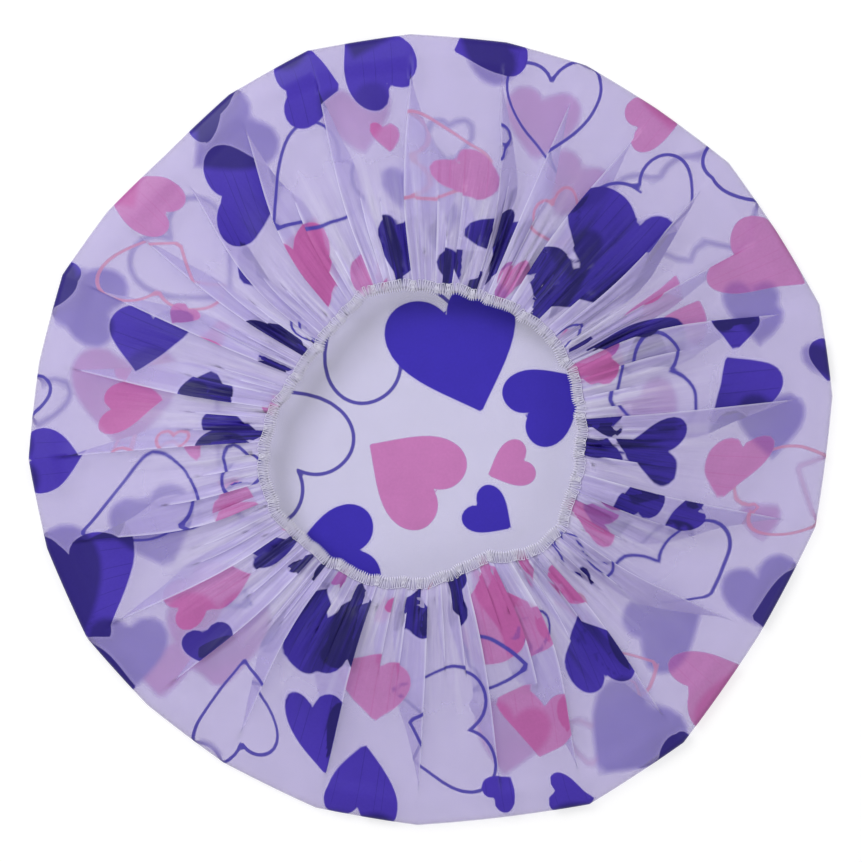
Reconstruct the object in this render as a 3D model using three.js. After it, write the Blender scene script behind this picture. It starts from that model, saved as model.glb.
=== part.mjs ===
// Elasticated shower cap of thin printed film, lying flat on its crown with the mouth up.
// Millimetres, +Z up. The origin is the middle of the crown's underside, on the table.
import * as THREE from 'three';

// The cap as it lies
const capRadius = 142;
const filmWall = 0.8;
const foldHeight = 5.4;
const foldReach = 3.4;
const clearance = 0.3;

// The mouth: the inner edge of the rim, an uneven ring a little off the middle
const mouthRadius = 51.5;
const mouthOffsetX = -2.7;
const mouthOffsetY = -0.4;
const mouthHeight = 11.6;

// The ring's distance from the middle of the mouth at even steps of a turn from +X, as shares
// of its radius
const mouthReachShares = [
  1.04, 1.055, 1.03, 0.975, 0.955, 0.99, 0.905, 0.91,
  1.03, 1.105, 1.055, 1.03, 0.98, 0.92, 1.09, 1.06,
];

// The rim: a flat elastic under the gathered edge of the film, sewn with three threads
const elasticWidth = 3.2;
const elasticThickness = 1.4;
const threadDiameter = 0.5;
const edgeMargin = 0.4;
const needleMargin = 0.5;
const seamMargin = 0.9;
const stitchCount = 48;
const needleRise = 0.25;

// The pleats of the gathered film: their depth from crest to valley where they are deepest
const pleatDepth = 6.4;

// One pleat starts at each corner of the outline: its bearing in degrees from +X, and its
// distance from the middle as a share of the cap's radius
const cornerBearingsDeg = [
  5, 18, 30, 42, 55, 67, 79, 93, 108, 121, 134, 146, 157,
  170, 184, 197, 211, 224, 238, 253, 268, 281, 293, 309, 328, 346,
];
const cornerReachShares = [
  1.01, 1.024, 1.0, 1.004, 0.986, 0.995, 0.992, 0.996, 1.002, 0.983, 0.96, 0.98, 1.003,
  0.997, 1.011, 1.006, 1.006, 0.988, 0.98, 0.987, 0.988, 0.985, 1.016, 1.005, 0.968, 0.993,
];

// Each pleat is drawn by four lines: where they stand as shares of the way to the next pleat,
// and how high they lie as shares of half the pleat's depth
const pleatLineShares = [0.0, 0.2, 0.5, 0.8];
const pleatLiftShares = [1.0, -1.0, -0.5, 0.4];

// The rings of the gathered film from the fold to the seam: how far in they lie as shares of
// the way, and how much of the pleat depth they carry
const frontRingShares = [0.4, 0.85];
const frontDepthShares = [0.5, 1.0];
const foldDepthShare = 0.1;

// Thicknesses and heights that follow from the sizes above
const threadRadius = threadDiameter / 2;
const elasticUnderside = mouthHeight - elasticThickness / 2;
const elasticTop = mouthHeight + elasticThickness / 2;
const rimFilmMiddle = elasticTop + clearance + filmWall / 2;
const rimFilmTop = rimFilmMiddle + filmWall / 2;
const elasticInset = edgeMargin + threadDiameter + clearance;
const needleInset = elasticInset + elasticWidth + needleMargin + threadRadius;
const seamInset = needleInset + seamMargin;

function cornerPoint(index) {
  const place = index % cornerBearingsDeg.length;
  const bearing = THREE.MathUtils.degToRad(cornerBearingsDeg[place]);
  const reach = capRadius * cornerReachShares[place];
  return new THREE.Vector2(reach * Math.cos(bearing), reach * Math.sin(bearing));
}

// The outline is straight between the corners. Each line of a pleat has its own point on it.
function outlinePoints() {
  const points = [];
  for (let pleat = 0; pleat < cornerBearingsDeg.length; pleat += 1) {
    const from = cornerPoint(pleat);
    const to = cornerPoint(pleat + 1);
    for (const share of pleatLineShares) {
      points.push(from.clone().lerp(to, share));
    }
  }
  return points;
}

// The mouth's share of its radius at an angle, on a smooth curve through the table
function mouthShare(angle) {
  const count = mouthReachShares.length;
  const turn = THREE.MathUtils.euclideanModulo(angle / (2 * Math.PI), 1) * count;
  const index = Math.floor(turn);
  const way = turn - index;
  const [before, from, to, after] = [count - 1, 0, 1, 2].map(
    (step) => mouthReachShares[(index + step) % count],
  );
  const leaving = (to - before) / 2;
  const arriving = (after - from) / 2;
  const bend = 3 * (to - from) - 2 * leaving - arriving;
  const twist = leaving + arriving - 2 * (to - from);
  return from + way * (leaving + way * (bend + way * twist));
}

// A point of the mouth's edge in the direction of an angle, moved outwards by an inset
function mouthPoint(angle, inset) {
  const reach = mouthRadius * mouthShare(angle) + inset;
  return new THREE.Vector2(
    mouthOffsetX + reach * Math.cos(angle),
    mouthOffsetY + reach * Math.sin(angle),
  );
}

function mouthAngle(outlinePoint) {
  return Math.atan2(outlinePoint.y - mouthOffsetY, outlinePoint.x - mouthOffsetX);
}

// Moves a point of the outline straight towards the middle
function movedIn(outlinePoint, distance) {
  return outlinePoint.clone().multiplyScalar(1 - distance / outlinePoint.length());
}

// Joins rings of points, each as long as the last, into a closed skin around a ring or a tube
function closedRings(rings) {
  const across = rings.length;
  const around = rings[0].length;
  const positions = rings.flat().flatMap((point) => [point.x, point.y, point.z]);
  const triangles = [];
  for (let ring = 0; ring < across; ring += 1) {
    const here = ring * around;
    const next = ((ring + 1) % across) * around;
    for (let step = 0; step < around; step += 1) {
      const ahead = (step + 1) % around;
      triangles.push(here + step, here + ahead, next + step);
      triangles.push(here + ahead, next + ahead, next + step);
    }
  }
  const geometry = new THREE.BufferGeometry();
  geometry.setAttribute('position', new THREE.Float32BufferAttribute(positions, 3));
  geometry.setIndex(triangles);
  geometry.computeVertexNormals();
  return geometry;
}

// The crown: a flat panel that ends just inside the fold
function crownGeometry() {
  const edge = outlinePoints().map((point) => movedIn(point, foldReach + clearance));
  return new THREE.ExtrudeGeometry(new THREE.Shape(edge), {
    depth: filmWall,
    bevelEnabled: false,
  });
}

// One line of the gathered film, from the crown's edge round the fold and up to the mouth:
// the middle of its wall, as distance and height, with the pleat's lift on top
function frontLine(outlinePoint, liftShare) {
  const angle = mouthAngle(outlinePoint);
  const lift = (liftShare * pleatDepth) / 2;
  const foldTop = foldHeight - filmWall / 2;
  const seamPoint = mouthPoint(angle, seamInset);
  const foldPoint = movedIn(outlinePoint, foldReach);
  const line = [
    { at: foldPoint, height: filmWall / 2 },
    { at: movedIn(outlinePoint, filmWall / 2), height: foldHeight / 2 },
    { at: foldPoint, height: foldTop + lift * foldDepthShare },
  ];
  frontRingShares.forEach((share, ring) => {
    const height = THREE.MathUtils.lerp(foldTop, rimFilmMiddle, share);
    line.push({
      at: foldPoint.clone().lerp(seamPoint, share),
      height: height + lift * frontDepthShares[ring],
    });
  });
  line.push({ at: seamPoint, height: rimFilmMiddle });
  line.push({ at: mouthPoint(angle, elasticInset), height: rimFilmMiddle });
  return line;
}

// Gives a line its wall: half of the thickness to each side, square to the line
function wallPoints(line, outward) {
  return line.map((point, index) => {
    const before = line[Math.max(index - 1, 0)];
    const after = line[Math.min(index + 1, line.length - 1)];
    const inwards = before.at.length() - after.at.length();
    const upwards = after.height - before.height;
    const length = Math.hypot(inwards, upwards);
    const side = (outward * filmWall) / 2 / length;
    const place = point.at.clone().multiplyScalar(1 + (upwards * side) / point.at.length());
    return new THREE.Vector3(place.x, place.y, point.height + inwards * side);
  });
}

function gatheredGeometry() {
  const outline = outlinePoints();
  const lines = outline.map((point, index) => frontLine(
    point,
    pleatLiftShares[index % pleatLiftShares.length],
  ));
  const outer = lines.map((line) => wallPoints(line, 1));
  const inner = lines.map((line) => wallPoints(line, -1));
  const rings = [];
  const count = lines[0].length;
  for (let ring = 0; ring < count; ring += 1) {
    rings.push(outer.map((points) => points[ring]));
  }
  for (let ring = count - 1; ring >= 0; ring -= 1) {
    rings.push(inner.map((points) => points[ring]));
  }
  return closedRings(rings);
}

// The elastic: a flat band with rounded edges that follows the mouth
function elasticGeometry() {
  const around = cornerBearingsDeg.length * pleatLineShares.length;
  const sides = 8;
  const middle = elasticInset + elasticWidth / 2;
  const rings = [];
  for (let side = 0; side < sides; side += 1) {
    const turn = ((side + 0.5) / sides) * 2 * Math.PI;
    const inset = middle + ((elasticWidth / 2) * Math.cos(turn)) / Math.cos(Math.PI / sides);
    const height = mouthHeight + ((elasticThickness / 2) * Math.sin(turn)) / Math.cos(Math.PI / sides);
    const ring = [];
    for (let step = 0; step < around; step += 1) {
      const place = mouthPoint((step / around) * 2 * Math.PI, inset);
      ring.push(new THREE.Vector3(place.x, place.y, height));
    }
    rings.push(ring);
  }
  return closedRings(rings);
}

// A thread that runs round the whole mouth. Each stitch is a few points, given as a share of
// the stitch, an inset from the mouth's edge and a height. The section is square, on its corner.
function threadGeometry(stitch) {
  const points = [];
  for (let index = 0; index < stitchCount; index += 1) {
    for (const point of stitch) {
      const angle = ((index + point.share) / stitchCount) * 2 * Math.PI;
      const place = mouthPoint(angle, point.inset);
      points.push(new THREE.Vector3(place.x, place.y, point.height));
    }
  }
  const corners = [[], [], [], []];
  points.forEach((point, index) => {
    const before = points[(index + points.length - 1) % points.length];
    const after = points[(index + 1) % points.length];
    const along = after.clone().sub(before).normalize();
    const outwards = new THREE.Vector3(point.x - mouthOffsetX, point.y - mouthOffsetY, 0);
    const down = along.clone().cross(outwards).normalize();
    const aside = down.clone().cross(along);
    corners.forEach((corner, quarter) => {
      const turn = (quarter / corners.length) * 2 * Math.PI;
      corner.push(point.clone()
        .addScaledVector(down, threadRadius * Math.cos(turn))
        .addScaledVector(aside, threadRadius * Math.sin(turn)));
    });
  });
  return closedRings(corners);
}

const overFilm = rimFilmTop + clearance + threadRadius;
const underElastic = elasticUnderside - clearance - threadRadius;
const edgeInset = edgeMargin + threadRadius;
const looperReach = elasticInset + elasticWidth - threadRadius;

// Stitch shapes, each as shares of its own length. The loopers meet at the rim's edge, one
// above the other, and cross the rim in a zigzag over the film and under the elastic.
const needleStitch = [
  { share: 0.0, inset: needleInset, height: overFilm },
  { share: 0.5, inset: needleInset, height: overFilm + needleRise },
];
const upperStitch = [
  { share: 0.0, inset: edgeInset, height: mouthHeight + threadDiameter },
  { share: 0.14, inset: edgeInset, height: rimFilmTop },
  { share: 0.32, inset: elasticInset, height: overFilm },
  { share: 0.5, inset: looperReach, height: overFilm },
  { share: 0.68, inset: elasticInset, height: overFilm },
  { share: 0.86, inset: edgeInset, height: rimFilmTop },
];
const lowerStitch = [
  { share: 0.0, inset: edgeInset, height: mouthHeight - threadDiameter },
  { share: 0.14, inset: edgeInset, height: elasticUnderside },
  { share: 0.32, inset: elasticInset, height: underElastic },
  { share: 0.5, inset: looperReach, height: underElastic },
  { share: 0.68, inset: elasticInset, height: underElastic },
  { share: 0.86, inset: edgeInset, height: elasticUnderside },
];

const film = new THREE.MeshStandardMaterial({ color: 0xc9c9e2, roughness: 0.45, metalness: 0 });
const crownFilm = new THREE.MeshStandardMaterial({ color: 0xd2d3e4, roughness: 0.45, metalness: 0 });
const elastic = new THREE.MeshStandardMaterial({ color: 0xf1f1f6, roughness: 0.8, metalness: 0 });
const thread = new THREE.MeshStandardMaterial({ color: 0xfafaff, roughness: 0.7, metalness: 0 });

const cap = new THREE.Group();

function addPiece(name, geometry, material) {
  const mesh = new THREE.Mesh(geometry, material);
  mesh.name = name;
  cap.add(mesh);
}

addPiece('crown_film', crownGeometry(), crownFilm);
addPiece('gathered_film', gatheredGeometry(), film);
addPiece('elastic_band', elasticGeometry(), elastic);
addPiece('needle_thread', threadGeometry(needleStitch), thread);
addPiece('upper_looper_thread', threadGeometry(upperStitch), thread);
addPiece('lower_looper_thread', threadGeometry(lowerStitch), thread);

export default cap;
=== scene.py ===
# %% [markdown]
# # A printed shower cap
# A shower cap of this kind is one round disc of thin frosted plastic film. An overlock seam gathers its edge
# on a narrow elastic, so the disc turns over at the outline and comes back over itself in dozens of soft
# radial pleats. The cap lies on its crown here, and we look straight down into its mouth.
#
# The imported model is loaded first. It fixes where everything lies.

# %% Load the frame
import math

import bpy
import numpy as np
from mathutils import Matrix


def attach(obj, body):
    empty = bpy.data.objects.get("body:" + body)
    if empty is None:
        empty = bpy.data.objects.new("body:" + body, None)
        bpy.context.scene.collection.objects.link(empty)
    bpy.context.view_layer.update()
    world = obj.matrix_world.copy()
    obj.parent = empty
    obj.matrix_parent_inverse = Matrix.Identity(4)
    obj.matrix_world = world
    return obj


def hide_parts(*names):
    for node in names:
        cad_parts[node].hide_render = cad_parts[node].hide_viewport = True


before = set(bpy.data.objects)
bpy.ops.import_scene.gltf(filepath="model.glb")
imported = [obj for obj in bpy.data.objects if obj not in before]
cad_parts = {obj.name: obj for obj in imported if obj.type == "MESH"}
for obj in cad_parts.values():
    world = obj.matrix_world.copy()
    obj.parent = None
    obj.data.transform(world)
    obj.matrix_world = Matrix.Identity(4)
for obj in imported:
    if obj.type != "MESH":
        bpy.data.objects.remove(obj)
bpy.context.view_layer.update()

MM = 0.001

# %% [markdown]
# ## Camera, light and floor
# The photograph looks straight down with almost no perspective, so a long lens is held high above the mouth.
# Even light lets thin film show its own colours: a bright surround with one broad lamp from the upper left
# and a weaker one from the right. The floor is pale. For the camera it also glows a little, so that it reads
# as a white table, and it still takes the shadow of the cap.

# %% Camera
PICTURE_WIDTH = 306 * MM
CAMERA_HEIGHT = 2.6
SENSOR_WIDTH = 36.0
FOCUS_HEIGHT = 10 * MM
SIGHT_LIMIT = 50.0
MOST_LAYERS_SEEN = 64

camera_data = bpy.data.cameras.new("camera")
camera_data.sensor_width = SENSOR_WIDTH
camera_data.lens = SENSOR_WIDTH * (CAMERA_HEIGHT - FOCUS_HEIGHT) / PICTURE_WIDTH
camera_data.clip_end = SIGHT_LIMIT
camera = bpy.data.objects.new("camera", camera_data)
camera.location = (0, 0, CAMERA_HEIGHT)
bpy.context.collection.objects.link(camera)
scene = bpy.context.scene
scene.camera = camera
scene.view_settings.view_transform = "Standard"
scene.cycles.transparent_max_bounces = MOST_LAYERS_SEEN
print("lens in mm:", round(camera_data.lens, 1))

# %% Lamps and surround
SURROUND_SHARE = 0.46


def soft_lamp(name, bearing_deg, elevation_deg, distance, size, share):
    """A square lamp aimed at the cap, which gives the table this share of full daylight."""
    bearing = math.radians(bearing_deg)
    elevation = math.radians(elevation_deg)
    data = bpy.data.lights.new(name, "AREA")
    data.size = size
    data.energy = share * math.pi ** 2 * distance ** 2 / math.sin(elevation)
    lamp = bpy.data.objects.new(name, data)
    reach = distance * math.cos(elevation)
    lamp.location = (reach * math.cos(bearing), reach * math.sin(bearing), distance * math.sin(elevation))
    lamp.rotation_euler = (0, math.pi / 2 - elevation, bearing)
    bpy.context.collection.objects.link(lamp)


soft_lamp("key_lamp", bearing_deg=135, elevation_deg=48, distance=1.6, size=0.8, share=0.46)
soft_lamp("fill_lamp", bearing_deg=-20, elevation_deg=40, distance=1.8, size=1.2, share=0.12)


def seen_directly(nodes, links):
    """1 where a ray comes straight from the camera, or by a mirror or glass, and 0 elsewhere."""
    path = nodes.new("ShaderNodeLightPath")
    either = nodes.new("ShaderNodeMath")
    either.operation = "MAXIMUM"
    links.new(path.outputs["Is Camera Ray"], either.inputs[0])
    links.new(path.outputs["Is Glossy Ray"], either.inputs[1])
    any_of = nodes.new("ShaderNodeMath")
    any_of.operation = "MAXIMUM"
    links.new(either.outputs[0], any_of.inputs[0])
    links.new(path.outputs["Is Transmission Ray"], any_of.inputs[1])
    return any_of.outputs[0]


world = bpy.data.worlds.new("surround")
world.use_nodes = True
scene.world = world
tree = world.node_tree
tree.nodes.clear()
surround_strength = tree.nodes.new("ShaderNodeMapRange")
surround_strength.inputs["To Min"].default_value = SURROUND_SHARE
surround_strength.inputs["To Max"].default_value = 1.0
tree.links.new(seen_directly(tree.nodes, tree.links), surround_strength.inputs["Value"])
background = tree.nodes.new("ShaderNodeBackground")
tree.links.new(surround_strength.outputs["Result"], background.inputs["Strength"])
world_output = tree.nodes.new("ShaderNodeOutputWorld")
tree.links.new(background.outputs["Background"], world_output.inputs["Surface"])

# %% Floor
FLOOR_SIDE = 6.0
FLOOR_GREY = 0.60
FLOOR_GLOW = 0.50
FLOOR_ROUGHNESS = 0.9

floor_mesh = bpy.data.meshes.new("floor")
half = FLOOR_SIDE / 2
floor_corners = [(-half, -half, 0), (half, -half, 0), (half, half, 0), (-half, half, 0)]
floor_mesh.from_pydata(floor_corners, [], [(0, 1, 2, 3)])
floor = bpy.data.objects.new("floor", floor_mesh)
bpy.context.collection.objects.link(floor)

floor_material = bpy.data.materials.new("pale_floor")
floor_material.use_nodes = True
tree = floor_material.node_tree
floor_shader = tree.nodes["Principled BSDF"]
floor_shader.inputs["Base Color"].default_value = (FLOOR_GREY, FLOOR_GREY, FLOOR_GREY, 1)
floor_shader.inputs["Roughness"].default_value = FLOOR_ROUGHNESS
floor_shader.inputs["Emission Color"].default_value = (1, 1, 1, 1)
glow = tree.nodes.new("ShaderNodeMath")
glow.operation = "MULTIPLY"
glow.inputs[1].default_value = FLOOR_GLOW
tree.links.new(seen_directly(tree.nodes, tree.links), glow.inputs[0])
tree.links.new(glow.outputs[0], floor_shader.inputs["Emission Strength"])
floor_mesh.materials.append(floor_material)

# %% [markdown]
# ## The outline and the mouth
# Seen from above, the lying cap is a many-sided disc: the turned edge bends sharply where a pleat starts and
# runs almost straight between. The mouth is the loose loop of the elastic, a little out of centre and out of
# round. Both are given as shares of a radius, the outline's at its corners and the mouth's at even steps, and
# everything else follows these two curves. Bearings turn anticlockwise from the right.

# %% Outline and mouth
CAP_RADIUS = 142.0
MOUTH_RADIUS = 51.5
MOUTH_OFFSET = (-2.7, -0.4)
OUTLINE_BOW_SHARE = 0.25
CORNER_BEARINGS_DEG = [5, 18, 30, 42, 55, 67, 79, 93, 108, 121, 134, 146, 157,
                       170, 184, 197, 211, 224, 238, 253, 268, 281, 293, 309, 328, 346]
CORNER_REACH_SHARES = [1.01, 1.024, 1.0, 1.004, 0.986, 0.995, 0.992, 0.996, 1.002,
                       0.983, 0.96, 0.98, 1.003, 0.997, 1.011, 1.006, 1.006, 0.988,
                       0.98, 0.987, 0.988, 0.985, 1.016, 1.005, 0.968, 0.993]
MOUTH_REACH_SHARES = [1.04, 1.055, 1.03, 0.975, 0.955, 0.99, 0.905, 0.91,
                      1.03, 1.105, 1.055, 1.03, 0.98, 0.92, 1.09, 1.06]
RIM_RIPPLES = [(19, 1.0, 0.28), (31, 2.2, 0.28), (47, 0.4, 0.22), (71, 3.0, 0.14)]

TURN = 2 * math.pi
corner_bearings = np.radians(CORNER_BEARINGS_DEG)
corner_radii = CAP_RADIUS * np.array(CORNER_REACH_SHARES)
panel_turns = np.diff(np.append(corner_bearings, corner_bearings[0] + TURN))
PANELS = len(corner_bearings)


def smooth(low, high, value):
    """0 below low, 1 above high and a soft step between."""
    part = np.clip((value - low) / (high - low), 0, 1)
    return part * part * (3 - 2 * part)


def panel_of(bearing):
    """The panel that a bearing falls in, and the angle from the panel's first corner."""
    turned = np.mod(bearing - corner_bearings[0], TURN)
    starts = np.concatenate([[0], np.cumsum(panel_turns)])
    panel = np.clip(np.searchsorted(starts, turned, side="right") - 1, 0, PANELS - 1)
    return panel, turned - starts[panel]


def outline_radius(bearing):
    """Reach of the outline in mm: nearly straight from corner to corner."""
    panel, past = panel_of(bearing)
    first = corner_radii[panel]
    last = corner_radii[(panel + 1) % PANELS]
    gap = panel_turns[panel]
    straight = first * last * np.sin(gap) / (first * np.sin(past) + last * np.sin(gap - past))
    arc = first + (last - first) * past / gap
    return straight + OUTLINE_BOW_SHARE * (arc - straight)


def rim_radius(bearing):
    """Reach of the mouth's edge in mm: a curve through evenly spaced shares, with the gathers' ripples."""
    shares = np.array(MOUTH_REACH_SHARES)
    count = len(shares)
    place = np.mod(bearing, TURN) / TURN * count
    step = np.floor(place).astype(int)
    part = place - step
    before, here, after, later = (shares[(step + shift) % count] for shift in (-1, 0, 1, 2))
    share = here + 0.5 * part * (after - before + part * (
        2 * before - 5 * here + 4 * after - later + part * (3 * (here - after) + later - before)))
    ripple = sum(size * np.sin(count * bearing + phase) for count, phase, size in RIM_RIPPLES)
    reach = MOUTH_RADIUS * share + MOUTH_OFFSET[0] * np.cos(bearing)
    return reach + MOUTH_OFFSET[1] * np.sin(bearing) + ripple


corner_reaches = outline_radius(corner_bearings)
print("outline in mm:", corner_reaches.min().round(1), "to", corner_reaches.max().round(1))

# %% [markdown]
# ## How the film folds
# The disc is about 470 mm across and its edge has to fit a mouth of about 107 mm, so at the rim the film has
# more than four times the length that it needs. The extra goes into knife pleats. Each pleat has a crest,
# from which the film runs back beneath the panel before it, down to a valley, and then forward again to the
# next crest. A cloth simulation could find such pleats, but not these. So each ring of the front, from the
# outline in to the rim, is laid out by a rule:
#
# * a panel between two corners holds several pleats, which start at different distances from the outline;
# * half way in, nearly all the spare film lies in these pleats, forward and back. Close to the outline all
#   of it, and in the seam about half, is drawn in evenly, in place of puckers too fine to lay out;
# * the further the film is set back from where it would lie unfolded, the lower it lies. Film that comes
#   later along the ring is always the lower, so no layer passes through another.

# %% Pleats of each panel
PLEATS = 6
CREST_SHARES = [0.0, 0.17, 0.36, 0.52, 0.68, 0.84]
PLEAT_STARTS = [0.10, 0.76, 0.58, 0.72, 0.50, 0.80]
PLEAT_PULLS = [1.3, 0.35, 0.5, 0.4, 0.55, 0.35]
CORNER_STARTS = [0.12, 0.08, 0.30, 0.16, 0.28, 0.12, 0.16, 0.26, 0.36, 0.02, 0.30, 0.34, 0.28,
                 0.04, 0.10, 0.26, 0.38, 0.06, 0.08, 0.02, 0.44, 0.44, 0.02, 0.16, 0.12, 0.10]
CORNER_DRIFTS_DEG = [-1, 7, 2, -4, 3, 0, -6, 4, 4, 9, 7, 3, 1,
                     3, -1, 6, 3, 3, -4, -1, 0, 2, 8, 4, -4, -2]
CREST_JITTER = 0.045
START_JITTER = 0.08
PULL_JITTER = 0.55
PLEAT_GROWTH = 0.30
PLEAT_LIP = 0.5
LEAST_PULL = 0.02

draw = np.random.default_rng(14)
crest_shares = np.array(CREST_SHARES) + draw.uniform(-CREST_JITTER, CREST_JITTER, (PANELS, PLEATS))
crest_shares[:, 0] = 0
pleat_starts = np.array(PLEAT_STARTS) + draw.uniform(-START_JITTER, START_JITTER, (PANELS, PLEATS))
pleat_starts[:, 0] = CORNER_STARTS
pleat_pulls = np.array(PLEAT_PULLS) * (1 + draw.uniform(-PULL_JITTER, PULL_JITTER, (PANELS, PLEATS)))

# %% Reach of each ring
TURN_REACH = 2.2
SLACK_IN_TURN = 3.0
FILM_EDGE_INSET = 0.9


def front_radius(bearing, share):
    """Reach in mm of the front's ring that lies this share of the way from the outline to the rim."""
    outer = outline_radius(bearing) - TURN_REACH
    return outer + share * (rim_radius(bearing) + FILM_EDGE_INSET - outer)


def disc_radius(bearing, share):
    """Distance in mm of the same ring from the middle of the flat disc."""
    outer = outline_radius(bearing)
    return outer + SLACK_IN_TURN + share * (outer - TURN_REACH - rim_radius(bearing) - FILM_EDGE_INSET)


# %% Crests and valleys of a ring
FOLDED_STOPS = [0.0, 0.08, 0.25, 0.5, 0.85, 0.93, 1.0]
FOLDED_SHARES = [0.0, 0.0, 0.55, 0.95, 0.85, 0.6, 0.45]


def ring_folds(share):
    """Crests and valleys of a ring: bearings lying and on the disc, set-back and film taken up in mm."""
    middle = corner_bearings + panel_turns / 2
    radius = front_radius(middle, share)
    width = radius * panel_turns
    spare = np.interp(share, FOLDED_STOPS, FOLDED_SHARES) * (disc_radius(middle, share) * panel_turns - width)
    pull = pleat_pulls * smooth(pleat_starts, pleat_starts + PLEAT_GROWTH, share)
    pull[:, 0] += LEAST_PULL
    taken = spare[:, None] * pull / pull.sum(axis=1, keepdims=True)
    crest = crest_shares * width[:, None]
    valley = crest + PLEAT_LIP - taken / 2
    next_crest = np.hstack([crest[:, 1:], width[:, None]])
    back = PLEAT_LIP + taken / 2
    ahead = next_crest - valley
    film_to_crest = np.cumsum(back + ahead, axis=1) - back - ahead
    film_width = (back + ahead).sum(axis=1, keepdims=True)
    lies = np.stack([crest, valley], axis=2)
    film = np.stack([film_to_crest, film_to_crest + back], axis=2) / film_width[:, :, None]
    set_back = width[:, None, None] * film - lies
    bearing = corner_bearings[:, None, None] + lies / radius[:, None, None]
    on_disc = corner_bearings[:, None, None] + film * panel_turns[:, None, None]
    return bearing, on_disc, set_back, taken


for share in (0.25, 0.5, 0.75, 1.0):
    depths = ring_folds(share)[3] / 2
    print("ring", share, "deepest pleat in mm", depths.max().round(1), "mean", depths.mean().round(1))

# %% [markdown]
# ## The printed hearts
# The print scatters plain hearts of violet-blue and pink over the disc, solid or in outline, in many sizes
# and directions. A picture of the print would blur on folds this sharp. Each point of the mesh stores its
# distance in mm to the nearest heart of each kind instead, and the material turns that distance into a crisp
# edge. Hearts on the crown are placed where they lie. Hearts on the front are placed where they are seen, and
# the fold rule says which part of the flat disc lies uppermost there. Further hearts fill the film that is
# hidden in the pleats.

# %% One heart
HEART_CURVES = [
    [(0.0, 0.27), (0.04, 0.39), (0.14, 0.46), (0.26, 0.46)],
    [(0.26, 0.46), (0.40, 0.46), (0.50, 0.35), (0.50, 0.20)],
    [(0.50, 0.20), (0.50, -0.06), (0.22, -0.27), (0.0, -0.50)],
]
CURVE_STEPS = 9


def half_heart():
    """Right half of a heart one unit wide, from its notch round to its tip."""
    points = []
    for a, b, c, d in (np.array(curve) for curve in HEART_CURVES):
        for step in range(CURVE_STEPS):
            t = step / CURVE_STEPS
            points.append((1 - t) ** 3 * a + 3 * t * (1 - t) ** 2 * b + 3 * t * t * (1 - t) * c + t ** 3 * d)
    points.append(np.array(HEART_CURVES[-1][-1]))
    return np.array(points)


HALF_HEART = half_heart()


def heart_distance(points):
    """Distance of points to the unit heart's edge, negative inside."""
    place = np.column_stack([np.abs(points[:, 0]), points[:, 1]])[:, None, :]
    start, end = HALF_HEART[:-1], HALF_HEART[1:]
    along = end - start
    part = np.clip(((place - start) * along).sum(2) / (along ** 2).sum(1), 0, 1)
    gap = np.sqrt(((place - start - part[..., None] * along) ** 2).sum(2)).min(1)
    crosses = (start[:, 1] > place[..., 1]) != (end[:, 1] > place[..., 1])
    rise = np.where(np.abs(along[:, 1]) < 1e-12, 1e-12, along[:, 1])
    cross_at = start[:, 0] + (place[..., 1] - start[:, 1]) / rise * along[:, 0]
    inside = (crosses & (place[..., 0] < cross_at)).sum(1) % 2 == 1
    return np.where(inside, -gap, gap)


# %% [markdown]
# Each row below is one heart: its kind, how far across and up from the middle it lies and its width, all
# three as shares of the cap's radius, and how far its notch is turned from straight up, in degrees
# anticlockwise.

# %% Hearts seen on the crown
KINDS = ("blue_solid", "pink_solid", "blue_line", "pink_line")
CROWN_HEARTS = [
    ("blue_solid", 0.070, 0.205, 0.335, 20),
    ("blue_solid", 0.295, 0.078, 0.205, 124),
    ("pink_solid", -0.052, -0.105, 0.25, -125),
    ("pink_solid", 0.198, -0.088, 0.12, -67),
    ("blue_solid", 0.149, -0.208, 0.127, 55),
    ("blue_solid", -0.245, -0.31, 0.24, -81),
    ("blue_line", -0.11, 0.2675, 0.37, -160),
    ("blue_line", -0.405, -0.03, 0.365, -134),
    ("blue_line", -0.60, 0.43, 0.27, 45),
    ("blue_solid", -0.5075, 0.7325, 0.22, -50),
    ("blue_solid", -0.8675, 0.3225, 0.20, -110),
    ("pink_solid", -0.185, 0.7825, 0.18, 10),
    ("blue_line", 0.0475, 0.7275, 0.115, 0),
    ("pink_solid", 0.275, 0.77, 0.19, -10),
    ("pink_solid", 0.355, 0.61, 0.17, -30),
    ("blue_line", 0.60, 0.545, 0.27, 20),
    ("blue_solid", 0.36, 0.44, 0.14, 0),
    ("blue_solid", 0.8525, 0.015, 0.17, 0),
    ("blue_solid", 0.8025, 0.31, 0.14, 0),
    ("blue_solid", 0.8275, 0.27, 0.11, 0),
    ("pink_solid", 0.8275, -0.2275, 0.10, 0),
    ("pink_solid", 0.56, 0.045, 0.16, 40),
    ("blue_solid", 0.84, -0.4175, 0.20, 20),
    ("blue_solid", 0.5925, -0.4925, 0.20, 120),
    ("blue_solid", 0.4975, -0.76, 0.25, -38),
    ("pink_line", 0.40, -0.78, 0.12, 0),
    ("pink_solid", 0.20, -0.77, 0.19, -10),
    ("blue_solid", -0.76, -0.56, 0.20, 0),
    ("pink_solid", -0.675, -0.5975, 0.15, 0),
    ("pink_solid", -0.5325, -0.5225, 0.26, 0),
    ("blue_solid", -0.69, -0.245, 0.21, 20),
    ("pink_solid", -0.7675, 0.085, 0.27, 0),
    ("blue_solid", -0.07, 0.61, 0.11, 0),
    ("blue_solid", 0.01, 0.52, 0.12, 0),
]

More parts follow.
